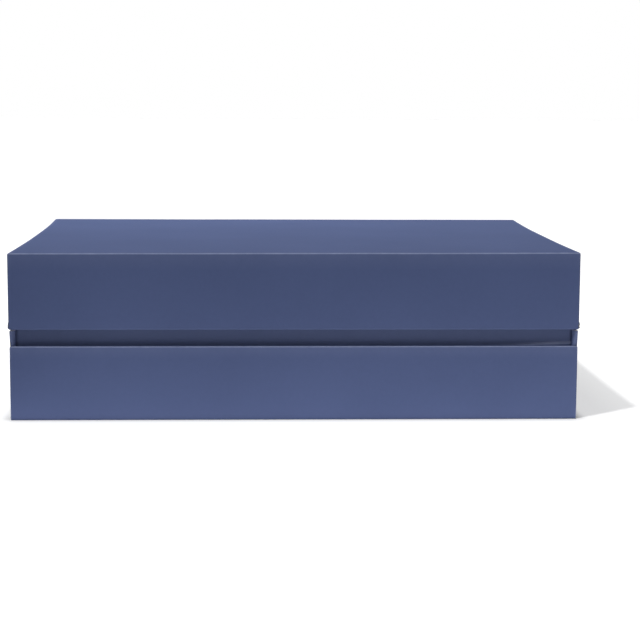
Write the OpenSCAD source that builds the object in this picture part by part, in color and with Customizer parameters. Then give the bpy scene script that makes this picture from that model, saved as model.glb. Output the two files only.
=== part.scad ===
// Clamshell book box for papers: two paper-covered board trays, rim to rim, hinged along the back.
// A neck stands in the base and rises into the lid. The base's front wall is lower than its other
// walls, which leaves a finger slot across the front.
// Millimetres. The origin is under the middle of the trays, +Z is up and the front faces -Y.

/* [Overall size] */
// Width across the lid, at its front and back corners
box_w = 340; // [280:1:420]
// Depth of both trays, front face to back face
box_d = 268; // [220:1:340]
// Height of the lid, rim to top
lid_h = 45.5; // [34:0.5:80]
// Height of the base's front wall
base_front_h = 44.3; // [34:0.1:80]
// Height of the finger slot between the base's front wall and the lid
slot_h = 10; // [6:0.5:16]
// How far each side is drawn in at the middle of its depth
side_bow = 2.1; // [0:0.1:4]

/* [Board and paper] */
// Greyboard of the walls, the floor and the top
board_t = 2.4; // [1.6:0.1:3.2]
// Board of the neck
neck_t = 1.5; // [1:0.1:2.4]
// Blue cover paper
paper_t = 0.3; // [0.2:0.05:0.4]
// Lining paper
lining_t = 0.3; // [0.2:0.05:0.4]
// Paper tape round the corners of the boards
stay_t = 0.15; // [0.1:0.05:0.15]
// Hinge cloth
cloth_t = 0.3; // [0.2:0.05:0.4]

/* [Paper and cloth widths] */
// How far the cover paper is turned in past a rim
turn_in = 15; // [13:1:22]
// Width of each leg of a corner tape
stay_leg = 12; // [8:1:18]
// How far the outer hinge cloth reaches up and down the back walls
cloth_leaf = 22; // [15:1:30]
// How far the inner hinge strip reaches past the rims
strip_leaf = 26; // [20:1:30]
// Margin of the bottom sheet inside the base's edge
sheet_margin = 2; // [1:0.5:4]

/* [Fits] */
// How far each side wall of the lid stands outside the base's
lid_overhang = 0.5; // [0.4:0.1:1]
// Gap between the rims of the shut trays
rim_gap = 0.3; // [0.3:0.05:0.6]
// Distance of the hinge line behind the back faces
hinge_offset = 0.5; // [0.5:0.05:0.8]
// How far the neck rises into the lid
neck_rise = 12; // [6:1:18]
// Gap between the neck and the base's front wall
neck_front_gap = 1.3; // [0.8:0.1:3]
// Gap between the neck and the base's side walls
neck_side_gap = 0.2; // [0.1:0.1:0.5]
// Gap between the ends of the neck and the inner hinge strip
neck_end_gap = 0.3; // [0.2:0.1:1]

/* [Hidden] */
$fn = 48;

BLUE = "#4b5780";
GREYBOARD = "#a39d93";
LINING = "#dcd8ce";
TAPE = "#c9b48c";
CLOTH = "#414c74";

half_w = box_w / 2;
half_d = box_d / 2;

// Heights, from the table up
underside = 2 * paper_t;
floor_top = underside + board_t;
base_rim = base_front_h + slot_h - rim_gap;
lid_rim = base_front_h + slot_h;
hinge_z = lid_rim - rim_gap / 2;
neck_top = lid_rim + neck_rise;
box_top = lid_rim + lid_h;
lid_ceiling = box_top - paper_t - board_t;

// Depths inside a tray's outline: the cover's inner side, the board's inner side, the turn-in's face
board_out = paper_t;
board_in = board_out + board_t;
turned_face = board_in + paper_t;

// The neck's outer face, its board and its lining, inside the lid's outline at the sides
neck_side = lid_overhang + turned_face + neck_side_gap;
neck_side_board = neck_side + paper_t;
neck_side_inner = neck_side_board + neck_t;
// The same at the front, inside the front face
neck_front = turned_face + neck_front_gap;
neck_front_board_y = neck_front + paper_t;
neck_front_inner = neck_front_board_y + neck_t;

// Planes of the back wall, from behind the box to inside it
hinge_y = half_d + hinge_offset;
back_board_in = half_d - board_in;
strip_out = half_d - turned_face;
strip_face = strip_out - cloth_t;
neck_end = strip_face - neck_end_gap;

// The drawn-in side is a shallow arc of straight facets, shared by every layer
bow_steps = 12;
BOW = [
  for (i = [0 : bow_steps])
    let (y = half_d * (2 * i / bow_steps - 1))
    [y, side_bow * (1 - pow(y / half_d, 2))]
];

function edge_x(y) = half_w - lookup(y, BOW);
function stations(y0, y1) =
  [y0, for (p = BOW) if (p[0] > y0 + 0.01 && p[0] < y1 - 0.01) p[0], y1];
function reversed(v) = [for (i = [len(v) - 1 : -1 : 0]) v[i]];

// A block across the width between two depths, its ends following both sides' bow
module panel(inset, y0, y1, z0, z1) {
  ys = stations(y0, y1);
  translate([0, 0, z0])
    linear_extrude(z1 - z0)
      polygon(concat(
        [for (y = ys) [edge_x(y) - inset, y]],
        [for (y = reversed(ys)) [inset - edge_x(y), y]]
      ));
}

// A wall along one side (-1 left, 1 right), between two insets from the lid's outline
module side_wall(side, from, to, y0, y1, z0, z1) {
  ys = stations(y0, y1);
  translate([0, 0, z0])
    linear_extrude(z1 - z0)
      polygon(concat(
        [for (y = ys) [side * (edge_x(y) - from), y]],
        [for (y = reversed(ys)) [side * (edge_x(y) - to), y]]
      ));
}

// A strip across the width at the back, cut straight at its ends
module back_strip(end_inset, y0, y1, z0, z1) {
  translate([end_inset - half_w, y0, z0])
    cube([box_w - 2 * end_inset, y1 - y0, z1 - z0]);
}

// The base's boards. With a grow of paper_t they are the outside of the cover paper.
module base_front(grow = 0) {
  panel(lid_overhang + board_out - grow, board_out - half_d - grow, board_in - half_d + grow,
    underside - grow, base_front_h - paper_t + grow);
}

module base_back(grow = 0) {
  panel(lid_overhang + board_out - grow, half_d - board_in - grow, half_d - board_out + grow,
    underside - grow, base_rim - cloth_t - paper_t + grow);
}

module base_side(side, grow = 0) {
  // In from the corner of the cover paper: where the slant starts, and where the board's square end is
  slant = sqrt(2) * grow;
  end = board_in - grow;
  difference() {
    side_wall(side, lid_overhang + board_out - grow, lid_overhang + board_in + grow,
      board_out - half_d - grow, half_d - board_in + grow,
      underside - grow, base_rim - paper_t + grow);
    // The front board stands before its end
    panel(-1, -half_d - 1, end - half_d, -1, base_front_h - paper_t + grow);
    // Above the front board it reaches the corner, cut on the slant as at a folded corner
    translate([0, 0, base_front_h - board_t])
      linear_extrude(slot_h + board_t + 1)
        polygon([
          for (p = [[slant - 1, -1], [slant + end, end], [2 * board_in, end], [2 * board_in, -1]])
            [side * (half_w - lid_overhang - p[0]), p[1] - half_d]
        ]);
  }
}

module base_walls(grow = 0) {
  base_front(grow);
  base_back(grow);
  base_side(-1, grow);
  base_side(1, grow);
}

// The lid's boards, in the same way
module lid_front(grow = 0) {
  panel(board_out - grow, board_out - half_d - grow, board_in - half_d + grow,
    lid_rim + paper_t - grow, box_top - paper_t + grow);
}

module lid_back(grow = 0) {
  panel(board_out - grow, half_d - board_in - grow, half_d - board_out + grow,
    lid_rim + cloth_t + paper_t - grow, box_top - paper_t + grow);
}

module lid_side(side, grow = 0) {
  side_wall(side, board_out - grow, board_in + grow,
    board_in - half_d - grow, half_d - board_in + grow,
    lid_rim + paper_t - grow, box_top - paper_t + grow);
}

module lid_walls(grow = 0) {
  lid_front(grow);
  lid_back(grow);
  lid_side(-1, grow);
  lid_side(1, grow);
}

// The neck's boards. The paper goes over their faces and top, not over their ends at the back.
module neck_front(grow = 0) {
  panel(neck_side_board - grow, neck_front_board_y - half_d - grow, neck_front_inner - half_d + grow,
    floor_top, neck_top - paper_t + grow);
}

module neck_side(side, grow = 0) {
  side_wall(side, neck_side_board - grow, neck_side_inner + grow,
    neck_front_inner - half_d - grow, neck_end,
    floor_top, neck_top - paper_t + grow);
}

module neck_walls(grow = 0) {
  neck_front(grow);
  neck_side(-1, grow);
  neck_side(1, grow);
}

// An L of paper tape round one corner of a tray's boards. end is -1 at the front, 1 at the back.
module corner_stay(side, end, inset, z0, z1) {
  face = half_d - board_out;
  corner_x = edge_x(face) - inset - board_out;
  side_wall(side, inset + board_out - stay_t, inset + board_out,
    end < 0 ? -face : face - stay_leg, end < 0 ? stay_leg - face : face, z0, z1);
  for (out = [corner_x - stay_leg])
    translate([side > 0 ? out : -corner_x - stay_t, end < 0 ? -face - stay_t : face, z0])
      cube([stay_leg + stay_t, stay_t, z1 - z0]);
}

module corner_stays(inset, front_z0, front_z1, back_z0, back_z1) {
  for (side = [-1, 1]) {
    corner_stay(side, -1, inset, front_z0, front_z1);
    corner_stay(side, 1, inset, back_z0, back_z1);
  }
}

module base_floor_board() {
  color(GREYBOARD)
    panel(lid_overhang + board_in, board_in - half_d, half_d - board_in, underside, floor_top);
}

module base_front_board() {
  color(GREYBOARD) base_front();
}

module base_back_board() {
  color(GREYBOARD) base_back();
}

module base_left_board() {
  color(GREYBOARD) base_side(-1);
}

module base_right_board() {
  color(GREYBOARD) base_side(1);
}

module base_corner_stays() {
  color(TAPE)
    corner_stays(lid_overhang, underside, base_front_h - paper_t,
      underside, base_rim - cloth_t - paper_t);
}

module base_cover_paper() {
  color(BLUE)
    difference() {
      union() {
        base_walls(paper_t);
        panel(lid_overhang, -half_d, half_d, underside - paper_t, underside);
      }
      base_walls();
      // The floor's middle, inside the turn-ins under it
      panel(lid_overhang + turn_in, turn_in - half_d, half_d - turn_in, 0, underside);
      // The inside, up to the front turn-in's edge and then up to the others'
      panel(lid_overhang + board_in, board_in - half_d, half_d - board_in,
        underside, base_front_h - turn_in);
      panel(lid_overhang + board_in, turned_face - half_d, half_d - board_in,
        underside, base_rim - turn_in);
      base_corner_stays();
    }
}

// Fills the floor's middle level with the turn-ins round it
module base_infill() {
  color(LINING)
    panel(lid_overhang + turn_in, turn_in - half_d, half_d - turn_in, paper_t, underside);
}

module base_bottom_sheet() {
  edge = lid_overhang + sheet_margin;
  color(BLUE) panel(edge, edge - half_d, half_d - edge, 0, paper_t);
}

module base_floor_lining() {
  color(LINING)
    panel(neck_side_inner, neck_front_inner - half_d, back_board_in, floor_top, floor_top + lining_t);
}

module base_back_lining() {
  color(LINING)
    back_strip(neck_side, back_board_in - lining_t, back_board_in,
      floor_top + lining_t, base_rim - turn_in);
}

module neck_front_board() {
  color(GREYBOARD) neck_front();
}

module neck_left_board() {
  color(GREYBOARD) neck_side(-1);
}

module neck_right_board() {
  color(GREYBOARD) neck_side(1);
}

module neck_cover_paper() {
  color(BLUE)
    difference() {
      neck_walls(paper_t);
      neck_walls();
      panel(neck_side_inner, neck_front_inner - half_d, neck_end, floor_top, neck_top - turn_in);
    }
}

module neck_lining() {
  color(LINING)
    difference() {
      panel(neck_side_inner, neck_front_inner - half_d, neck_end,
        floor_top + lining_t, neck_top - turn_in);
      panel(neck_side_inner + lining_t, neck_front_inner + lining_t - half_d, half_d,
        floor_top, neck_top);
    }
}

// Outside, the cloth's fold is a round bead on the hinge line
module hinge_cloth_base_leaf() {
  margin = lid_overhang + board_in;
  color(CLOTH) {
    back_strip(margin, half_d, half_d + cloth_t, hinge_z - cloth_leaf, hinge_z);
    translate([margin - half_w, hinge_y, hinge_z])
      rotate([0, 90, 0])
        cylinder(h = box_w - 2 * margin, r = cloth_t);
  }
}

module hinge_cloth_lid_leaf() {
  color(CLOTH)
    back_strip(lid_overhang + board_in, half_d, half_d + cloth_t,
      hinge_z + 2 * cloth_t, hinge_z + cloth_leaf);
}

module hinge_strip_base_leaf() {
  color(CLOTH) {
    back_strip(neck_side, strip_face, strip_out, base_rim - strip_leaf, base_rim);
    back_strip(neck_side, strip_face, half_d, base_rim - cloth_t, base_rim);
  }
}

module hinge_strip_lid_leaf() {
  color(CLOTH) {
    back_strip(neck_side, strip_face, strip_out, lid_rim, lid_rim + strip_leaf);
    back_strip(neck_side, strip_face, half_d, lid_rim, lid_rim + cloth_t);
  }
}

module lid_top_board() {
  color(GREYBOARD)
    panel(board_in, board_in - half_d, half_d - board_in, lid_ceiling, box_top - paper_t);
}

module lid_front_board() {
  color(GREYBOARD) lid_front();
}

module lid_back_board() {
  color(GREYBOARD) lid_back();
}

module lid_left_board() {
  color(GREYBOARD) lid_side(-1);
}

module lid_right_board() {
  color(GREYBOARD) lid_side(1);
}

module lid_corner_stays() {
  color(TAPE)
    corner_stays(0, lid_rim + paper_t, box_top - paper_t,
      lid_rim + cloth_t + paper_t, box_top - paper_t);
}

module lid_cover_paper() {
  color(BLUE)
    difference() {
      union() {
        lid_walls(paper_t);
        panel(0, -half_d, half_d, box_top - paper_t, box_top);
      }
      lid_walls();
      panel(board_in, board_in - half_d, half_d - board_in, lid_rim + turn_in, box_top - paper_t);
      lid_corner_stays();
    }
}

module lid_top_lining() {
  color(LINING)
    panel(board_in, board_in - half_d, half_d - board_in, lid_ceiling - lining_t, lid_ceiling);
}

module lid_wall_lining() {
  inner = board_in + lining_t;
  color(LINING)
    difference() {
      panel(board_in, board_in - half_d, half_d - board_in,
        lid_rim + turn_in, lid_ceiling - lining_t);
      panel(inner, inner - half_d, half_d - inner, lid_rim, lid_ceiling);
    }
}

base_floor_board();
base_front_board();
base_back_board();
base_left_board();
base_right_board();
base_corner_stays();
base_cover_paper();
base_infill();
base_bottom_sheet();
base_floor_lining();
base_back_lining();
neck_front_board();
neck_left_board();
neck_right_board();
neck_cover_paper();
neck_lining();
hinge_cloth_base_leaf();
hinge_cloth_lid_leaf();
hinge_strip_base_leaf();
hinge_strip_lid_leaf();
lid_top_board();
lid_front_board();
lid_back_board();
lid_left_board();
lid_right_board();
lid_corner_stays();
lid_cover_paper();
lid_top_lining();
lid_wall_lining();
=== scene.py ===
import math

import bmesh
import bpy
from mathutils import Matrix, Vector


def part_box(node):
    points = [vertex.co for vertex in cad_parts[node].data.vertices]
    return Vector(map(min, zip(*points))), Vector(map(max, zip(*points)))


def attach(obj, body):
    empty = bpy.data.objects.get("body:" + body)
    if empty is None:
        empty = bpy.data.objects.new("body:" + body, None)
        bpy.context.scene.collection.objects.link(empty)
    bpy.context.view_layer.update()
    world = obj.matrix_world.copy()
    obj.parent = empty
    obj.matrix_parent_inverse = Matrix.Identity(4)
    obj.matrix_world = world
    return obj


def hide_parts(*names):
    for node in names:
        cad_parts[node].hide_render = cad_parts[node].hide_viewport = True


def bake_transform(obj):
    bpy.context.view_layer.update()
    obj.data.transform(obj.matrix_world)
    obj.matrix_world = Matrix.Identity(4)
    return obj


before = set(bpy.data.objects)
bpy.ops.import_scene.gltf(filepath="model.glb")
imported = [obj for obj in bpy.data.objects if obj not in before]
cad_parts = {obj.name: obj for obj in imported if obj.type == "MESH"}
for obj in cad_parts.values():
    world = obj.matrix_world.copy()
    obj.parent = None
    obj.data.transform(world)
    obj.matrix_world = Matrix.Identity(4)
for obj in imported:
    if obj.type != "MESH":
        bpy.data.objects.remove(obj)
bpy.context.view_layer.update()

# Everything below is in millimetres until a mesh is made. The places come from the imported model.
MM = 0.001


def box_mm(node):
    """A node's lowest and highest corner in millimetres."""
    low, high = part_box(node)
    return low / MM, high / MM


LID_LOW, LID_HIGH = box_mm("lid_cover_paper")
BASE_HIGH = box_mm("base_cover_paper")[1]
NECK_LOW, NECK_HIGH = box_mm("neck_cover_paper")
CLOTH_LOW, CLOTH_HIGH = box_mm("hinge_cloth_base_leaf")
STRIP_LOW, STRIP_HIGH = box_mm("hinge_strip_base_leaf")

# Outline of the trays
HALF_W = LID_HIGH.x
HALF_D = LID_HIGH.y
SIDE_BOW = 2.1
OVERHANG = HALF_W - BASE_HIGH.x

# Thicknesses and widths. The construction's sheets are a little thicker than the paper that shows
SHEET = 0.3
PAPER = 0.28
WALL = 3.0
NECK_WALL = 2.1
NECK_SIDE = 3.7
TURN_IN = 15.0
STRIP_LEAF = 26
# Radii of the edges: on the base, on the lid, and under the base
EDGE_ROUND = 0.62
LID_ROUND = 0.8
FOOT_ROUND = 0.15
# The paper's underside clears the floor by this much
FOOT = 0.02

# Heights
BOX_TOP = LID_HIGH.z
LID_RIM = LID_LOW.z
BASE_RIM = BASE_HIGH.z
FRONT_RIM = box_mm("base_front_board")[1].z + SHEET
NECK_TOP = NECK_HIGH.z
FLOOR_TOP = box_mm("base_floor_board")[1].z

# The hinge's axis, and where the neck begins and ends
HINGE_Z = (LID_RIM + BASE_RIM) / 2
NECK_FRONT = NECK_LOW.y + HALF_D
NECK_END = NECK_HIGH.y

# The photograph's camera
CAMERA_AT = (-29.4, -1180.6, 199.5)
CAMERA_PITCH = 7.575
CAMERA_YAW = -2.405
CAMERA_ROLL = 0.292
CAMERA_LENS = 99.8

# The main light shines from this direction, read off the shadow on the floor
TOWARDS_LIGHT = (-45.6, -40.0, 101.0)
SUN_STRENGTH = 1.58
# The sky's brightness overhead and at the horizon
SKY_TOP = 0.35
SKY_LOW = 0.02
# How brightly each lamp's face shines, and the colour of the two that stand low
CARD_STRENGTH = 1.3
BOX_STRENGTH = 6.3
FILL_STRENGTH = 4.4
WARM = (1.0, 0.94, 0.86)
# The floor's own tone, and how much it is lifted towards white where it is seen
FLOOR_GREY = 0.72
FLOOR_LIFT = 0.538
# How far the shade reaches where the box stands on the floor, in metres
CONTACT_REACH = 0.008


def edge_x(y):
    """Half the lid's width at a depth: the sides are drawn in a little at their middle."""
    return HALF_W - SIDE_BOW * (1 - (y / HALF_D) ** 2)


# Meshes


def mesh_object(name, bm, smooth=True):
    """Turns a bmesh in millimetres into an object in metres."""
    bmesh.ops.scale(bm, vec=(MM, MM, MM), verts=bm.verts)
    mesh = bpy.data.meshes.new(name)
    bm.to_mesh(mesh)
    bm.free()
    mesh.shade_smooth() if smooth else mesh.shade_flat()
    piece = bpy.data.objects.new(name, mesh)
    bpy.context.scene.collection.objects.link(piece)
    return piece


def apply_modifiers(piece):
    """Bakes the modifiers of a piece into its mesh."""
    depsgraph = bpy.context.evaluated_depsgraph_get()
    baked = bpy.data.meshes.new_from_object(piece.evaluated_get(depsgraph))
    piece.modifiers.clear()
    old = piece.data
    piece.data = baked
    bpy.data.meshes.remove(old)


def even_normals(piece):
    """Shades a piece evenly, led by its wide faces."""
    weighted = piece.modifiers.new("normals", "WEIGHTED_NORMAL")
    weighted.weight = 60
    apply_modifiers(piece)


def even_sheet(name, bm):
    """A closed sheet as an evenly shaded piece."""
    piece = mesh_object(name, bm)
    even_normals(piece)
    return piece


def cover_sheet(name, bm):
    """A piece of cover paper from the side that shows. It gets its thickness, and its edges marked
    for scuffing and a painted highlight.
    """
    piece = mesh_object(name, bm)
    solid = piece.modifiers.new("thickness", "SOLIDIFY")
    solid.thickness = PAPER * MM
    solid.offset = -1
    solid.use_even_offset = True
    even_normals(piece)
    mark_wear_and_highlight(piece)
    return piece


def mark_wear_and_highlight(piece):
    """Stores each point's scuffing and painted highlight: rounded edges get them, most where they
    face up to the light.
    """
    # A point is on an edge from this turn of the surface, and beside a flat from this width
    full_turn, wide = math.radians(9), 1.0 * MM
    beside_flat, facing_down = 0.3, 0.2
    bm = bmesh.new()
    bm.from_mesh(piece.data)
    bm.normal_update()
    wear_and_highlight = []
    for vert in bm.verts:
        up = vert.normal.z
        turn = max((vert.normal.angle(face.normal, 0) for face in vert.link_faces), default=0)
        widest = max(
            face.calc_area() / max(edge.calc_length() for edge in face.edges)
            for face in vert.link_faces
        )
        # Edges that face up get more: that part is a painted highlight from the light above.
        amount = min(1.0, turn / full_turn) * (0.25 + 0.75 * min(1.0, max(0.0, 2.6 * up + 0.2)))
        if widest > wide:
            amount *= beside_flat
        if up <= 0.05:
            amount *= facing_down
        wear_and_highlight.append(amount)
    bm.free()
    attribute = piece.data.attributes.new("wear_and_highlight", "FLOAT", "POINT")
    attribute.data.foreach_set("value", wear_and_highlight)


def side_lines(over, insets, inside=16):
    """Lines along the depth: the walls' faces on the left, lines between, then the right."""
    lines = [(-1.0, inset) for inset in insets]
    lines += [(2 * k / inside - 1, insets[-1]) for k in range(1, inside)]
    lines += [(1.0, inset) for inset in reversed(insets)]
    return [lambda y, s=s, d=d: s * (edge_x(y) - over - d) for s, d in lines]


def even_steps(start, stop, count):
    """Numbers from start to stop in equal steps, both included."""
    return [start + (stop - start) * k / count for k in range(count + 1)]


def stepped_sheet(xs, ys, levels, height, capped, floored, walled=None):
    """A sheet over columns of different height, which stands for paper wrapped over boards.

    height(i, j) is a column's top, capped(i, j) and floored(i, j) say whether its top and
    underside are covered, and walled(j) whether the outside at that depth is.
    """
    bm = bmesh.new()
    made = {}
    low = levels[0]

    def point(i, j, z):
        key = (i, j, round(z, 4))
        if key not in made:
            made[key] = bm.verts.new((xs[i](ys[j]), ys[j], z))
        return made[key]

    def upright(a, b, z0, z1):
        cuts = [z0] + [z for z in levels if z0 + 1e-6 < z < z1 - 1e-6] + [z1]
        for lower, upper in zip(cuts, cuts[1:]):
            bm.faces.new((point(*a, lower), point(*b, lower), point(*b, upper), point(*a, upper)))

    columns, rows = len(xs) - 1, len(ys) - 1

    def top_of(i, j):
        return height(i, j) if 0 <= i < columns and 0 <= j < rows else low

    for i in range(columns):
        for j in range(rows):
            corners = ((i, j), (i + 1, j), (i + 1, j + 1), (i, j + 1))
            if capped(i, j):
                bm.faces.new([point(*c, height(i, j)) for c in corners])
            if floored(i, j):
                bm.faces.new([point(*c, low) for c in reversed(corners)])
    for i in range(columns + 1):
        for j in range(rows):
            left, right = top_of(i - 1, j), top_of(i, j)
            if left > right:
                upright((i, j), (i, j + 1), right, left)
            elif right > left:
                upright((i, j + 1), (i, j), left, right)
    for j in range(rows + 1):
        if walled and not walled(j):
            continue
        for i in range(columns):
            near, far = top_of(i, j - 1), top_of(i, j)
            if near > far:
                upright((i + 1, j), (i, j), far, near)
            elif far > near:
                upright((i, j), (i + 1, j), near, far)
    return bm


def round_edges(bm, radius, segments=4, chosen=None):
    """Rounds the sharp outward edges whose middle is chosen, or all of them."""
    sharp = 0.5
    bm.normal_update()
    edges = [
        edge for edge in bm.edges
        if len(edge.link_faces) == 2 and edge.is_convex and edge.calc_face_angle() > sharp
        and (chosen is None or chosen((edge.verts[0].co + edge.verts[1].co) / 2))
    ]
    bmesh.ops.bevel(
        bm, geom=edges, offset=radius, offset_type="OFFSET", segments=segments,
        profile=0.5, affect="EDGES", clamp_overlap=False,
    )


def waves(a, b, phase):
    """A slow uneven swell between -1 and 1."""
    return (
        math.sin(a / 47 + phase) * math.cos(b / 31 - phase)
        + 0.6 * math.sin(a / 23 - 2.1 * phase + b / 19)
        + 0.4 * math.sin(a / 11.3 + b / 41 + 3 * phase)
    ) / 2


def warp(bm, amount, phase, rim, far):
    """Bends the walls and the closed side of a tray a little, as glued board does."""
    for vert in bm.verts:
        x, y, z = vert.co
        away = min(1.0, max(0.0, (z - rim) / (far - rim)))
        vert.co.x += amount * waves(y, z * 3, phase) * away * (1 if x > 0 else -1) * abs(x) / HALF_W
        vert.co.y += amount * waves(x, z * 3, phase + 1) * away * y / HALF_D
        vert.co.z += amount * (waves(x, y, phase + 2) + 0.6) * away ** 4


def ring_path(inset, back=None):
    """Points round a tray's inside at an inset, from the back left corner round the front.

    They go round the back too, unless they end at the depth that back gives.
    """
    across, along = 10, 16
    depth = HALF_D - inset if back is None else back

    def x_at(y):
        return edge_x(y) - inset

    front = inset - HALF_D
    left = [(-x_at(y), y) for y in even_steps(depth, front, along)[:-1]]
    near = [(x, front) for x in even_steps(-x_at(front), x_at(front), across)[:-1]]
    right = [(x_at(y), y) for y in even_steps(front, depth, along)]
    if back is not None:
        return left + near + right
    far = [(x, depth) for x in even_steps(x_at(depth), -x_at(depth), across)[:-1]]
    return left + near + right[:-1] + far


def swept_sheet(rings, closed=True):
    """A sheet through rings of points, one ring for each corner of its section.

    Rings that aren't closed on themselves leave two ends, which are capped.
    """
    bm = bmesh.new()
    loops = [[bm.verts.new(p) for p in ring] for ring in rings]
    count = len(loops[0])
    for a, b in zip(loops, loops[1:] + loops[:1]):
        for k in range(count if closed else count - 1):
            n = (k + 1) % count
            bm.faces.new((a[k], a[n], b[n], b[k]))
    if not closed:
        bm.faces.new([loop[0] for loop in loops])
        bm.faces.new([loop[-1] for loop in reversed(loops)])
    bmesh.ops.recalc_face_normals(bm, faces=bm.faces)
    return bm


def corner_path(over, inset, side, end, front_leg, side_leg, start=0.0):
    """Points round one outer corner, from the front or back face on to the side.

    start is where on the corner's round the path begins when front_leg is nothing.
    """
    radius = max(EDGE_ROUND - inset, 0.05)
    middle_y = HALF_D - inset - radius
    middle_x = edge_x(HALF_D) - over - inset - radius
    points = [(middle_x - front_leg, HALF_D - inset)] if front_leg else []
    for k in range(7):
        turn = math.radians(90 - 90 * (start + (1 - start) * k / 6))
        points.append((middle_x + radius * math.cos(turn), middle_y + radius * math.sin(turn)))
    for k in range(1, 4):
        y = middle_y - side_leg * k / 3
        points.append((edge_x(y) - over - inset, y))
    return [(side * x, end * y) for x, y in points]


def strip_round(paths, z0, z1):
    """A thin upright strip between an outer and an inner path, with its four long edges."""
    outer, inner = paths
    return [
        [(x, y, z) for x, y in path]
        for path, z in ((outer, z0), (outer, z1), (inner, z1), (inner, z0))
    ]


def merged(bms):
    """Joins several bmeshes into the first."""
    first, *rest = bms
    for other in rest:
        mesh = bpy.data.meshes.new("joined")
        other.to_mesh(mesh)
        other.free()
        first.from_mesh(mesh)
        bpy.data.meshes.remove(mesh)
    return first


def ribbon(line, thickness, x0, x1):
    """A sheet that runs along the width, with a line of (y, z) points for its section.

    It lies to the left of the line as one walks along it. Its map runs with the width and the line.
    """
    # Steps along the width, and the limit that keeps a sharp bend's offset short
    across, least = 12, 0.4
    bm = bmesh.new()
    uv = bm.loops.layers.uv.new("sheet")
    points = [Vector(p) for p in line]
    offsets = []
    for k, p in enumerate(points):
        before = (p - points[k - 1]).normalized() if k else None
        after = (points[k + 1] - p).normalized() if k + 1 < len(points) else None
        before, after = before or after, after or before
        along = (before + after).normalized()
        across_line = Vector((-along.y, along.x))
        offsets.append(across_line * thickness / max(least, along.dot(before)))
    lengths = [0.0]
    for a, b in zip(points, points[1:]):
        lengths.append(lengths[-1] + (b - a).length)
    xs = even_steps(x0, x1, across)
    near = [[bm.verts.new((x, *p)) for p in points] for x in xs]
    far = [[bm.verts.new((x, *(p + o))) for p, o in zip(points, offsets)] for x in xs]

    def face(corners):
        new = bm.faces.new([grid[i][k] for grid, i, k in corners])
        for loop, (_, i, k) in zip(new.loops, corners):
            loop[uv].uv = (xs[i] * MM, lengths[k] * MM)

    last = len(points) - 1
    for i in range(across):
        for k in range(last):
            face(((near, i, k), (near, i + 1, k), (near, i + 1, k + 1), (near, i, k + 1)))
            face(((far, i, k), (far, i, k + 1), (far, i + 1, k + 1), (far, i + 1, k)))
        face(((near, i, 0), (far, i, 0), (far, i + 1, 0), (near, i + 1, 0)))
        face(((near, i, last), (near, i + 1, last), (far, i + 1, last), (far, i, last)))
    for i, order in ((0, 1), (across, -1)):
        for k in range(last):
            face(((near, i, k), (near, i, k + 1), (far, i, k + 1), (far, i, k))[::order])
    bmesh.ops.recalc_face_normals(bm, faces=bm.faces)
    return bm


# Materials


class Tree:
    """A short way to lay out the nodes of a material or of the world."""

    def __init__(self, owner):
        owner.use_nodes = True
        self.tree = owner.node_tree
        self.tree.nodes.clear()

    def add(self, kind, **settings):
        node = self.tree.nodes.new(kind)
        for key, value in settings.items():
            setattr(node, key, value)
        return node

    def link(self, source, target):
        self.tree.links.new(source, target)

    def put(self, value, socket):
        """Gives a socket a number, a colour or what another node puts out."""
        if isinstance(value, bpy.types.NodeSocket):
            self.link(value, socket)
        elif isinstance(value, (int, float)):
            socket.default_value = value
        else:
            socket.default_value = (*value, 1)

    def math(self, how, *values, **settings):
        node = self.add("ShaderNodeMath", operation=how, **settings)
        for value, socket in zip(values, node.inputs):
            self.put(value, socket)
        return node.outputs[0]

    def ramp(self, value, stops):
        """Colours or greys along a value, as (place, colour) pairs."""
        node = self.add("ShaderNodeValToRGB")
        elements = node.color_ramp.elements
        while len(elements) < len(stops):
            elements.new(0.5)
        for element, (place, colour) in zip(elements, stops):
            grey = isinstance(colour, (int, float))
            element.position = place
            element.color = (colour,) * 3 + (1,) if grey else (*colour, 1)
        self.link(value, node.inputs["Fac"])
        return node.outputs["Color"]

    def seen_directly(self):
        """One for what the camera sees itself, in gloss or through glass, else nothing."""
        path = self.add("ShaderNodeLightPath")
        total = path.outputs["Is Camera Ray"]
        for name in ("Is Glossy Ray", "Is Transmission Ray"):
            total = self.math("ADD", total, path.outputs[name], use_clamp=True)
        return total


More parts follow.
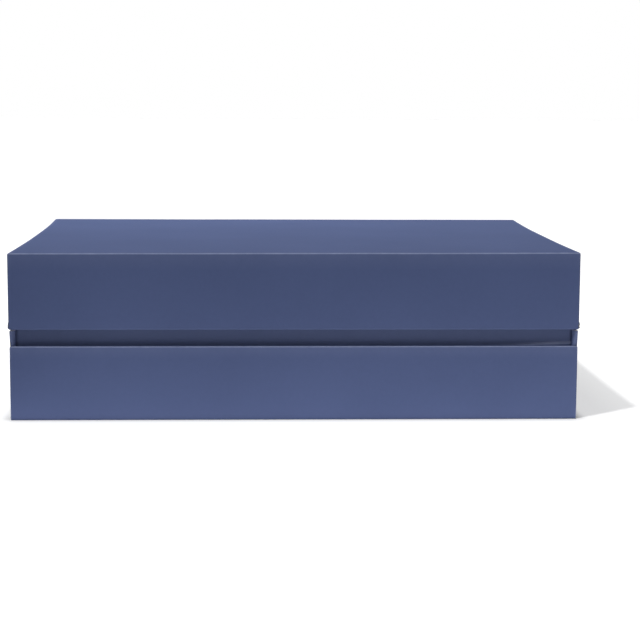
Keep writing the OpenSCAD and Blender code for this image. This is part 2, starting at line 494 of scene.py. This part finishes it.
class Surface(Tree):
    """The nodes of a material with one shader."""

    def __init__(self, name):
        self.material = bpy.data.materials.new(name)
        super().__init__(self.material)
        self.shader = self.add("ShaderNodeBsdfPrincipled")
        output = self.add("ShaderNodeOutputMaterial")
        self.link(self.shader.outputs["BSDF"], output.inputs["Surface"])

    def place(self, stretch=(1, 1, 1), uv=False):
        """Coordinates in metres, from the object or from the sheet's own map."""
        source = self.add("ShaderNodeTexCoord").outputs["UV" if uv else "Object"]
        mapping = self.add("ShaderNodeMapping")
        mapping.inputs["Scale"].default_value = stretch
        self.link(source, mapping.inputs["Vector"])
        return mapping.outputs["Vector"]

    def noise(self, where, scale, detail=4.0, roughness=0.55, distortion=0.0):
        node = self.add("ShaderNodeTexNoise")
        self.link(where, node.inputs["Vector"])
        node.inputs["Scale"].default_value = scale
        node.inputs["Detail"].default_value = detail
        node.inputs["Roughness"].default_value = roughness
        node.inputs["Distortion"].default_value = distortion
        return node.outputs["Fac"]

    def mix(self, factor, a, b):
        """Mixes two colours. The node's sockets for colours have these places."""
        node = self.add("ShaderNodeMix", data_type="RGBA")
        for value, place in ((factor, 0), (a, 6), (b, 7)):
            self.put(value, node.inputs[place])
        return node.outputs[2]

    def bump(self, height, distance, strength, under=None):
        node = self.add("ShaderNodeBump")
        node.inputs["Distance"].default_value = distance
        node.inputs["Strength"].default_value = strength
        self.link(height, node.inputs["Height"])
        if under:
            self.link(under, node.inputs["Normal"])
        return node.outputs["Normal"]

    def finish(self, colour, roughness, normal, specular):
        self.link(colour, self.shader.inputs["Base Color"])
        self.link(roughness, self.shader.inputs["Roughness"])
        self.link(normal, self.shader.inputs["Normal"])
        self.shader.inputs["Specular IOR Level"].default_value = specular
        return self.material


def cover_paper_material(name="cover_paper", painted_light_tint=(1.0, 1.0, 1.0)):
    """Blue coated paper: fine tooth, faint clouds in the colour, paler on rounded edges, partly
    from scuffing and partly as a painted highlight.
    """
    # A copy can be painted lighter by these factors: painted light, for paper that sits in shade.
    def with_painted_light(*colour):
        return tuple(c * t for c, t in zip(colour, painted_light_tint))

    deep = with_painted_light(0.066, 0.090, 0.196)
    plain = with_painted_light(0.07, 0.0955, 0.207)
    pale = with_painted_light(0.075, 0.1015, 0.219)
    # The pale edge colour: scuffed paper, and a painted highlight on rounded edges.
    worn_and_highlit = (0.25, 0.29, 0.45)
    m = Surface(name)
    where = m.place()
    clouds = m.noise(where, 14, 3, 0.5)
    specks = m.noise(where, 420, 5, 0.6)
    tooth = m.noise(where, 2600, 3, 0.6)
    fibres = m.noise(m.place((900, 5200, 2400)), 1, 4, 0.6, 0.4)
    colour = m.ramp(clouds, ((0.3, deep), (0.5, plain), (0.72, pale)))
    colour = m.mix(0.35, colour, m.ramp(specks, ((0.3, deep), (0.7, pale))))
    colour = m.mix(m.ramp(fibres, ((0.62, 0.0), (0.8, 0.22))), colour, pale)
    wear_and_highlight = m.add("ShaderNodeAttribute", attribute_name="wear_and_highlight").outputs["Fac"]
    rubbed_and_highlit = m.noise(where, 160, 6, 0.7)
    rubbed_and_highlit = m.math("MULTIPLY", wear_and_highlight, m.ramp(rubbed_and_highlit, ((0.3, 0.6), (0.7, 1.0))))
    colour = m.mix(rubbed_and_highlit, colour, worn_and_highlit)
    roughness = m.ramp(specks, ((0.25, 0.66), (0.75, 0.76)))
    normal = m.bump(fibres, 0.00004, 0.35)
    normal = m.bump(tooth, 0.00003, 0.5, normal)
    normal = m.bump(clouds, 0.0006, 0.12, normal)
    return m.finish(colour, roughness, normal, 0.04)


def lining_material():
    """Off-white lining paper with a soft tooth and short fibres."""
    m = Surface("lining_paper")
    where = m.place()
    clouds = m.noise(where, 20, 3)
    fibres = m.noise(m.place((700, 3000, 1500)), 1, 5, 0.65, 0.6)
    tooth = m.noise(where, 2200, 4, 0.65)
    colour = m.ramp(clouds, ((0.3, (0.66, 0.62, 0.54)), (0.7, (0.75, 0.72, 0.65))))
    colour = m.mix(m.ramp(fibres, ((0.58, 0.0), (0.78, 0.35))), colour, (0.58, 0.52, 0.43))
    roughness = m.ramp(tooth, ((0.3, 0.78), (0.7, 0.9)))
    normal = m.bump(tooth, 0.00006, 0.5)
    normal = m.bump(fibres, 0.00005, 0.4, normal)
    return m.finish(colour, roughness, normal, 0.3)


def greyboard_material():
    """Grey bookbinder's board, pressed from mixed pulp with light and dark flecks."""
    m = Surface("greyboard")
    where = m.place()
    pulp = m.noise(where, 90, 6, 0.65)
    flecks = m.noise(where, 900, 4, 0.6)
    layers = m.noise(m.place((60, 60, 2400)), 1, 3, 0.5, 0.3)
    colour = m.ramp(pulp, ((0.3, (0.29, 0.27, 0.235)), (0.7, (0.42, 0.39, 0.345))))
    colour = m.mix(m.ramp(flecks, ((0.62, 0.0), (0.72, 0.6))), colour, (0.16, 0.145, 0.125))
    colour = m.mix(m.ramp(flecks, ((0.26, 0.5), (0.34, 0.0))), colour, (0.55, 0.52, 0.47))
    roughness = m.ramp(pulp, ((0.3, 0.84), (0.7, 0.95)))
    normal = m.bump(layers, 0.00015, 0.5)
    normal = m.bump(flecks, 0.00008, 0.5, normal)
    return m.finish(colour, roughness, normal, 0.2)


def frayed_and_shaded_material():
    """Cover paper rolled up with crumbs of board, dull, and painted darker than such paper and
    board: painted shade on the lumps.
    """
    m = Surface("frayed_paper_and_shade")
    where = m.place()
    crumbs = m.noise(where, 1100, 5, 0.7)
    tooth = m.noise(where, 3200, 3, 0.6)
    # These tones are darker than board and cover paper are: painted shade.
    colour = m.ramp(crumbs, ((0.35, (0.075, 0.085, 0.115)), (0.65, (0.15, 0.16, 0.185))))
    roughness = m.ramp(crumbs, ((0.3, 0.8), (0.7, 0.95)))
    normal = m.bump(crumbs, 0.0002, 0.7)
    return m.finish(colour, roughness, m.bump(tooth, 0.0001, 0.5, normal), 0.2)


def tape_material():
    """Brown gummed paper tape."""
    m = Surface("tape_paper")
    where = m.place((1, 1, 6))
    stripes = m.noise(where, 300, 4, 0.6)
    tooth = m.noise(where, 1800, 3, 0.6)
    colour = m.ramp(stripes, ((0.3, (0.45, 0.33, 0.19)), (0.7, (0.62, 0.48, 0.31))))
    roughness = m.ramp(tooth, ((0.3, 0.6), (0.7, 0.75)))
    return m.finish(colour, roughness, m.bump(tooth, 0.00005, 0.4), 0.35)


def cloth_material():
    """Blue bookcloth in a plain weave, two threads to the millimetre, sized with a dull finish."""
    m = Surface("hinge_cloth")
    thread_width = 0.00042
    turns = math.pi / thread_width
    parts = m.add("ShaderNodeSeparateXYZ")
    m.link(m.place(uv=True), parts.inputs[0])
    across = m.math("MULTIPLY", parts.outputs[0], turns)
    along = m.math("MULTIPLY", parts.outputs[1], turns)
    warp_thread = m.math("ABSOLUTE", m.math("SINE", across))
    weft_thread = m.math("ABSOLUTE", m.math("SINE", along))
    half_across = m.math("SINE", m.math("MULTIPLY", across, 0.5))
    half_along = m.math("SINE", m.math("MULTIPLY", along, 0.5))
    over = m.math("MULTIPLY_ADD", m.math("MULTIPLY", half_across, half_along), 0.5, 0.5)
    height = m.math("ADD", m.math("MULTIPLY", warp_thread, over),
                    m.math("MULTIPLY", weft_thread, m.math("SUBTRACT", 1.0, over)))
    slubs = m.noise(m.place((300, 6000, 300), uv=True), 1, 3, 0.6)
    clouds = m.noise(m.place(uv=True), 60, 3)
    # Darker where the threads dip: painted shade in the weave's hollows.
    colour = m.ramp(height, ((0.1, (0.022, 0.03, 0.075)), (0.9, (0.062, 0.082, 0.19))))
    colour = m.mix(m.ramp(slubs, ((0.5, 0.0), (0.8, 0.45))), colour, (0.09, 0.115, 0.235))
    colour = m.mix(m.ramp(clouds, ((0.4, 0.0), (0.7, 0.25))), colour, (0.05, 0.065, 0.15))
    roughness = m.ramp(height, ((0.0, 0.85), (1.0, 0.66)))
    normal = m.bump(height, 0.0001, 0.7)
    return m.finish(colour, roughness, normal, 0.3)


def dress(piece, material):
    """Gives a piece its one material."""
    piece.data.materials.clear()
    piece.data.materials.append(material)


# The pieces


def make_lid_cover(material):
    """The lid's paper: over the top, down the walls, round the rims and in."""
    xs = side_lines(0, (0, WALL))
    ys = [-HALF_D] + even_steps(WALL - HALF_D, HALF_D - WALL, 24) + [HALF_D]
    last_column, last_row = len(xs) - 2, len(ys) - 2
    rim, turned, top = LID_RIM, LID_RIM + TURN_IN, BOX_TOP
    wall_height = top - rim

    def in_wall(i, j):
        return i in (0, last_column) or j in (0, last_row)

    # It is laid out upside down, from the top panel, and then turned over
    levels = [0, 10, 20, top - turned, wall_height - 6, wall_height]
    bm = stepped_sheet(
        xs, ys, levels,
        height=lambda i, j: wall_height if in_wall(i, j) else top - turned,
        capped=in_wall, floored=lambda i, j: True,
    )
    for vert in bm.verts:
        vert.co.z = top - vert.co.z
    bmesh.ops.reverse_faces(bm, faces=bm.faces)
    round_edges(bm, LID_ROUND)
    warp(bm, amount=0.1, phase=0.4, rim=rim, far=top)
    # The top stands a little higher at its front right corner
    lift = 0.75
    for vert in bm.verts:
        x, y, z = vert.co
        across = max(0.0, x / HALF_W + 1) / 2
        near = max(0.0, 1 - y / HALF_D) / 2
        vert.co.z += lift * across ** 1.5 * near * max(0.0, (z - rim) / (top - rim))
    piece = cover_sheet("lid_cover", bm)
    dress(piece, material)
    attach(piece, "lid")
    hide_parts("lid_cover_paper")


def slant_end(bm, side):
    """Brings a side wall's front end out to the corner above the front's rim, cut on the slant."""
    front, back = -HALF_D, WALL - HALF_D

    def point(inset, y, z):
        """The point that is there already, or a new one."""
        place = Vector((side * (edge_x(y) - OVERHANG - inset), y, z))
        there = [vert for vert in bm.verts if (vert.co - place).length < 0.001]
        return there[0] if there else bm.verts.new(place)

    corner, corner_top = point(0, front, FRONT_RIM), point(0, front, BASE_RIM)
    outer, outer_top = point(0, back, FRONT_RIM), point(0, back, BASE_RIM)
    inner, inner_top = point(WALL, back, FRONT_RIM), point(WALL, back, BASE_RIM)
    beside = point(WALL, front, FRONT_RIM)
    for old in ((corner, beside, inner, outer), (outer, inner, inner_top, outer_top)):
        bm.faces.remove(bm.faces.get(old))
    for new in ((corner, inner, beside), (corner, corner_top, inner_top, inner),
                (corner, outer, outer_top, corner_top), (corner_top, outer_top, inner_top)):
        bm.faces.new(new[::side])


def make_base_cover(material):
    """The base's paper. Its front wall is lower, which leaves the finger slot."""
    folded_under = 14.5
    xs = side_lines(OVERHANG, (0, WALL, folded_under))
    inner_edge = HALF_D - folded_under
    ys = [-HALF_D, WALL - HALF_D] + even_steps(-inner_edge, inner_edge, 20)
    ys += [HALF_D - WALL, HALF_D]
    last_column, last_row = len(xs) - 2, len(ys) - 2
    turned = FRONT_RIM - TURN_IN

    def height(i, j):
        if j == 0:
            return FRONT_RIM
        return BASE_RIM if i in (0, last_column) or j == last_row else turned

    def in_wall(i, j):
        return height(i, j) > turned

    def under_edge(i, j):
        return i in (0, 1, last_column - 1, last_column) or j <= 1 or j >= last_row - 1

    bm = stepped_sheet(
        xs, ys, [FOOT, 9, 19, turned, 37, FRONT_RIM, BASE_RIM],
        height=height, capped=in_wall, floored=under_edge,
    )
    for side in (-1, 1):
        slant_end(bm, side)

    def in_slot(p):
        near = 0.1
        return p.y < WALL - HALF_D + near and FRONT_RIM + near < p.z < BASE_RIM - near

    round_edges(bm, FOOT_ROUND, segments=2, chosen=lambda p: p.z < 1)
    round_edges(bm, EDGE_ROUND, chosen=lambda p: p.z > 1 and not in_slot(p))
    warp(bm, amount=0.08, phase=2.2, rim=-20, far=90)
    for vert in bm.verts:
        vert.co.z = max(vert.co.z, FOOT)
    piece = cover_sheet("base_cover", bm)
    dress(piece, material)
    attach(piece, "base")
    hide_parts("base_cover_paper")


def smooth_step(t):
    """Rises smoothly from 0 to 1 as t does."""
    t = min(1.0, max(0.0, t))
    return t * t * (3 - 2 * t)


def swollen(x, z):
    """How far the neck's paper stands forward at its right end, where it is creased."""
    # A broad swelling, and on it a narrow crease that rises to the right
    broad = 0.4 * smooth_step((x - 88) / 78) * math.exp(-((z - 43.0) / 2.6) ** 2)
    crease_z = 44.3 + 1.2 * (x - 140) / 27
    crease = 0.32 * smooth_step((x - 124) / 44) * math.exp(-((z - crease_z) / 0.6) ** 2)
    return broad + crease


def make_neck_cover(material):
    """The neck's paper: up its outer face, over its top and down inside."""
    xs = side_lines(0, (NECK_SIDE, NECK_SIDE + NECK_WALL), inside=40)
    front = NECK_FRONT - HALF_D
    side_gap = 0.19
    ys = [front] + even_steps(front + NECK_WALL, NECK_END, 20)
    last_column, last_line = len(xs) - 2, len(ys) - 1
    turned = NECK_TOP - TURN_IN

    def in_wall(i, j):
        return i in (0, last_column) or j == 0

    # The lines lie closer where the paper is creased
    creased = [41, 42.5, 43.4, 44.0, 44.5, 45.0, 45.4, 45.8, 46.2, 46.6, 47.2, 48]
    bm = stepped_sheet(
        xs, ys, [FLOOR_TOP, 20, 36, *creased, turned, 57, NECK_TOP],
        height=lambda i, j: NECK_TOP if in_wall(i, j) else turned,
        capped=in_wall, floored=lambda i, j: False, walled=lambda j: j < last_line,
    )
    round_edges(bm, EDGE_ROUND, chosen=lambda p: p.z > NECK_TOP - 0.1)
    for vert in bm.verts:
        if vert.co.y < front + NECK_WALL / 2:
            vert.co.y -= swollen(vert.co.x, vert.co.z)
            # At its ends the front's paper touches the side walls
            if abs(vert.co.x) > edge_x(front) - NECK_SIDE - 0.5:
                vert.co.x += math.copysign(side_gap, vert.co.x)
    piece = cover_sheet("neck_cover", bm)
    dress(piece, material)
    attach(piece, "base")
    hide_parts("neck_cover_paper")


def lining_section(edge, end, up):
    """A lining's section, as pairs of an inset from the wall's face and a height.

    It laps over the cover paper's turned edge and goes on to its end, upwards or downwards.
    """
    lap, before, after = 3.0, 0.1, 0.7
    proud, touching, flush, behind = 0.22, 0.02, 0.03, -0.25
    return (
        (proud, edge - up * lap), (proud, edge - up * before), (flush, edge + up * after),
        (flush, end), (behind, end), (behind, edge + up * after),
        (touching, edge - up * before), (touching, edge - up * lap),
    )


def make_linings(material):
    """The linings of the lid's walls and of the neck."""
    ceiling = box_mm("lid_top_lining")[0].z
    rings = [
        [(x, y, z) for x, y in ring_path(WALL + inset)]
        for inset, z in lining_section(LID_RIM + TURN_IN, ceiling, 1)
    ]
    piece = even_sheet("lid_wall_lining_sheet", swept_sheet(rings))
    dress(piece, material)
    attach(piece, "lid")
    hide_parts("lid_wall_lining")

    rings = []
    for inset, z in lining_section(NECK_TOP - TURN_IN, FLOOR_TOP + SHEET, -1):
        front = NECK_FRONT + NECK_WALL + inset - HALF_D
        path = ring_path(NECK_SIDE + NECK_WALL + inset, back=NECK_END)
        rings.append([(x, max(y, front), z) for x, y in path])
    piece = even_sheet("neck_lining_sheet", swept_sheet(rings, closed=False))
    dress(piece, material)
    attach(piece, "base")
    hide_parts("neck_lining")


def corner_strips(low, front_high, back_high, paths_at):
    """A thin upright strip round each corner. paths_at gives its outer and its inner path."""
    strips = []
    for side in (-1, 1):
        for end, high in ((-1, front_high), (1, back_high)):
            rings = strip_round(paths_at(side, end), low, high)
            strips.append(swept_sheet(rings, closed=False))
    return merged(strips)


def make_corner_tapes(material):
    """Tape round the boards' corners, under the cover paper."""
    leg = 12
    for body, over, low, front_high, back_high in (
        ("lid", 0, LID_RIM + 0.8, BOX_TOP - 0.9, BOX_TOP - 0.9),
        ("base", OVERHANG, 0.9, FRONT_RIM - 0.9, BASE_RIM - 0.9),
    ):
        def paths_at(side, end):
            return [corner_path(over, inset, side, end, leg, leg) for inset in (0.18, 0.28)]

        strips = corner_strips(low, front_high, back_high, paths_at)
        piece = even_sheet(f"{body}_corner_tapes", strips)
        dress(piece, material)
        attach(piece, body)
        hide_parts(f"{body}_corner_stays")


def make_corner_flaps(material):
    """The ends of the front and back papers, folded round the corners on to the side walls."""
    for body, over, low, front_high, back_high in (
        ("lid", 0, LID_RIM + 0.7, BOX_TOP - 0.75, BOX_TOP - 0.75),
        ("base", OVERHANG, 0.7, FRONT_RIM - 0.7, BASE_RIM - 0.7),
    ):
        def paths_at(side, end):
            leg = 9 + 0.7 * side * end
            return [
                corner_path(over, inset, side, end, 0, leg, start=0.55) for inset in (-0.07, 0.1)
            ]

        strips = corner_strips(low, front_high, back_high, paths_at)
        piece = even_sheet(f"{body}_corner_flaps", strips)
        dress(piece, material)
        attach(piece, body)


def make_worn_corners(material):
    """Small lumps at corners, where the folded paper is knocked and rolled up."""
    # For each lump its side, its height, and its half width, depth and height
    lumps = {
        "lid": (
            (-1, LID_RIM + 2.3, (0.95, 1.2, 2.3)),
            (1, LID_RIM + 2.4, (1.05, 1.3, 2.4)),
            (1, BOX_TOP - 1.2, (0.6, 0.9, 1.1)),
        ),
        "base": (
            (-1, 1.5, (0.6, 0.9, 1.4)),
            (-1, FRONT_RIM - 1.4, (0.55, 0.8, 1.2)),
        ),
    }
    from_side, from_front = 0.42, 1.2
    for body, over in (("lid", 0), ("base", OVERHANG)):
        joined = []
        for side, z, (width, depth, height) in lumps[body]:
            bm = bmesh.new()
            bmesh.ops.create_icosphere(bm, subdivisions=4, radius=1)
            for vert in bm.verts:
                x, y, up = vert.co
                turned = math.atan2(y, x)
                rolled = 1 + 0.12 * math.sin(3 * turned + 5 * up) + 0.07 * math.sin(9 * up + z)
                squared = 1 / max(abs(x), abs(y), abs(up)) ** 0.35
                vert.co = (
                    side * (HALF_W - over - from_side) + width * x * rolled * squared,
                    from_front - HALF_D + depth * y * rolled * squared * 0.8,
                    max(FOOT, z + height * up * rolled * squared * 0.85),
                )
            joined.append(bm)
        piece = mesh_object(f"{body}_worn_corners", merged(joined))
        dress(piece, material)
        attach(piece, body)


def arc(middle, radius, start, stop, count):
    """Points of an arc in the (y, z) plane, angles in degrees from +Y towards +Z."""
    turns = [math.radians(a) for a in even_steps(start, stop, count)]
    return [(middle[0] + radius * math.cos(t), middle[1] + radius * math.sin(t)) for t in turns]


def make_hinge(material):
    """The cloth outside and the strip inside, each in one piece from the base to the lid."""
    # The cloth bulges a little at the fold, where both rims end
    face, bulge, half_fold, thick = HALF_D + 0.02, 0.34, 1.5, 0.24
    low, high = CLOTH_LOW.z, 2 * HINGE_Z - CLOTH_LOW.z
    line = [(face, z) for z in even_steps(low, HINGE_Z - half_fold, 8)]
    line += [
        (face + bulge * math.cos(math.radians(a)) ** 2, HINGE_Z + half_fold * a / 90)
        for a in even_steps(-80, 80, 10)
    ]
    line += [(face, z) for z in even_steps(HINGE_Z + half_fold, high, 8)]
    cloth = even_sheet("hinge_cloth_outside", ribbon(line, -thick, CLOTH_LOW.x, CLOTH_HIGH.x))
    dress(cloth, material)
    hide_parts("hinge_cloth_base_leaf", "hinge_cloth_lid_leaf")
    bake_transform(cloth)

    # The strip goes up the base's wall, over both rims round the axis, and up the lid's wall
    inner, rim_end = HALF_D - WALL, HALF_D - 0.1
    face, bend, thick = inner - 0.02, 0.6, 0.12
    base_top, lid_bottom = BASE_RIM + 0.01, LID_RIM - 0.01
    rim_start = inner + bend + 0.4
    line = [(face, z) for z in even_steps(BASE_RIM - STRIP_LEAF, base_top - bend, 6)]
    line += arc((inner + bend - 0.02, base_top - bend), bend, 170, 90, 4)
    line += [(y, base_top) for y in even_steps(rim_start, rim_end, 4)]
    line += arc((HALF_D, HINGE_Z), HINGE_Z - base_top, -60, 60, 4)
    line += [(y, lid_bottom) for y in even_steps(rim_end, rim_start, 4)]
    line += arc((inner + bend - 0.02, lid_bottom + bend), bend, -90, -170, 4)
    line += [(face, z) for z in even_steps(lid_bottom + bend, LID_RIM + STRIP_LEAF, 6)]
    strip = even_sheet("hinge_strip_inside", ribbon(line, thick, STRIP_LOW.x, STRIP_HIGH.x))
    dress(strip, material)
    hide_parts("hinge_strip_base_leaf", "hinge_strip_lid_leaf")
    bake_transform(strip)


def dress_cad_nodes(cover, lining, board):
    """The boards and flat sheets keep the construction's shape and get their materials."""
    for name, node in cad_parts.items():
        if name.endswith("_board"):
            dress(node, board)
        elif name == "base_bottom_sheet":
            dress(node, cover)
        elif name.endswith("_lining") or name == "base_infill":
            dress(node, lining)


# The stage


def make_camera():
    """The photograph's camera, which also gives the picture its tilt."""
    pitch, yaw, roll = (math.radians(a) for a in (CAMERA_PITCH, CAMERA_YAW, CAMERA_ROLL))
    forward = Vector((
        -math.sin(yaw) * math.cos(pitch), math.cos(yaw) * math.cos(pitch), -math.sin(pitch),
    ))
    level = Vector((math.cos(yaw), math.sin(yaw), 0))
    upright = level.cross(forward)
    right = level * math.cos(roll) + upright * math.sin(roll)
    up = upright * math.cos(roll) - level * math.sin(roll)
    data = bpy.data.cameras.new("camera")
    data.lens = CAMERA_LENS
    data.sensor_width = 36
    data.clip_start, data.clip_end = 0.01, 100
    camera = bpy.data.objects.new("camera", data)
    camera.matrix_world = Matrix((
        (right.x, up.x, -forward.x, CAMERA_AT[0] * MM),
        (right.y, up.y, -forward.y, CAMERA_AT[1] * MM),
        (right.z, up.z, -forward.z, CAMERA_AT[2] * MM),
        (0, 0, 0, 1),
    ))
    bpy.context.scene.collection.objects.link(camera)
    bpy.context.scene.camera = camera


def make_floor():
    """A pale floor. The camera sees it lifted to white, and it keeps the shadow."""
    bm = bmesh.new()
    bmesh.ops.create_grid(bm, x_segments=8, y_segments=8, size=9000)
    floor = mesh_object("floor", bm, smooth=False)
    material = bpy.data.materials.new("floor")
    m = Tree(material)
    base = m.add("ShaderNodeBsdfDiffuse")
    m.put((FLOOR_GREY,) * 3, base.inputs["Color"])
    contact = m.add("ShaderNodeAmbientOcclusion")
    m.put(CONTACT_REACH, contact.inputs["Distance"])
    shade = m.math("MULTIPLY", contact.outputs["AO"], contact.outputs["AO"])
    seen = m.math("MULTIPLY", m.seen_directly(), shade)
    lift = m.add("ShaderNodeEmission")
    m.link(m.math("MULTIPLY", seen, FLOOR_LIFT), lift.inputs["Strength"])
    both = m.add("ShaderNodeAddShader")
    m.link(base.outputs[0], both.inputs[0])
    m.link(lift.outputs[0], both.inputs[1])
    m.link(both.outputs[0], m.add("ShaderNodeOutputMaterial").inputs["Surface"])
    floor.data.materials.append(material)


def area_light(name, place, turns, size, strength, colour):
    """A rectangle that shines evenly, but isn't seen itself. Its strength is that of its face."""
    data = bpy.data.lights.new(name, "AREA")
    data.shape = "RECTANGLE"
    data.size, data.size_y = size
    data.energy = strength * math.pi * size[0] * size[1]
    data.color = colour
    lamp = bpy.data.objects.new(name, data)
    lamp.location = place
    lamp.rotation_euler = [math.radians(turn) for turn in turns]
    lamp.visible_camera = False
    lamp.visible_glossy = False
    bpy.context.scene.collection.objects.link(lamp)


def make_light():
    """A main light from the front left, three lamps, and a soft sky that is brighter overhead."""
    data = bpy.data.lights.new("key", "SUN")
    data.energy = SUN_STRENGTH
    data.angle = math.radians(3)
    lamp = bpy.data.objects.new("key", data)
    lamp.rotation_mode = "QUATERNION"
    lamp.rotation_quaternion = Vector(TOWARDS_LIGHT).to_track_quat("Z", "Y")
    bpy.context.scene.collection.objects.link(lamp)

    # A white card lies on the floor in front and throws light up on the lower front
    area_light("card", place=(0.12, -HALF_D * MM - 0.041, 0.0001), turns=(180, 0, 0),
               size=(0.60, 0.08), strength=CARD_STRENGTH, colour=WARM)
    # A soft box hangs behind the box's top
    area_light("soft_box", place=(-0.08, 0.32, 0.55), turns=(0, 0, 0),
               size=(0.3, 0.3), strength=BOX_STRENGTH, colour=(0.97, 1.0, 0.97))
    # A fill stands in front to the right and reaches into the finger slot
    area_light("fill", place=(0.75, -1.1, 0.2), turns=(84, 0, 38),
               size=(0.7, 0.2), strength=FILL_STRENGTH, colour=WARM)

    world = bpy.data.worlds.new("studio")
    bpy.context.scene.world = world
    w = Tree(world)
    parts = w.add("ShaderNodeSeparateXYZ")
    w.link(w.add("ShaderNodeTexCoord").outputs["Generated"], parts.inputs[0])
    sky = w.add("ShaderNodeBackground")
    w.link(w.ramp(parts.outputs["Z"], ((0.0, SKY_LOW), (0.9, SKY_TOP))), sky.inputs["Color"])
    white = w.add("ShaderNodeBackground")
    w.put((1, 1, 1), white.inputs["Color"])
    mix = w.add("ShaderNodeMixShader")
    for source, socket in zip((w.seen_directly(), sky.outputs[0], white.outputs[0]), mix.inputs):
        w.link(source, socket)
    w.link(mix.outputs[0], w.add("ShaderNodeOutputWorld").inputs["Surface"])


bpy.context.scene.view_settings.view_transform = "Standard"
make_camera()
make_floor()
make_light()

cover_paper = cover_paper_material()
lining_paper = lining_material()
greyboard = greyboard_material()
tape_paper = tape_material()
# The neck's paper is painted lighter and warmer: painted light in the shaded finger slot.
neck_paper_painted_lighter = cover_paper_material("neck_paper_painted_lighter", (1.08, 1.03, 0.95))
frayed_paper_and_shade = frayed_and_shaded_material()
hinge_cloth = cloth_material()

dress_cad_nodes(cover_paper, lining_paper, greyboard)
make_lid_cover(cover_paper)
make_base_cover(cover_paper)
make_neck_cover(neck_paper_painted_lighter)
make_linings(lining_paper)
make_corner_tapes(tape_paper)
make_corner_flaps(cover_paper)
# The lumps' dark paper is partly painted shade.
make_worn_corners(frayed_paper_and_shade)
make_hinge(hinge_cloth)
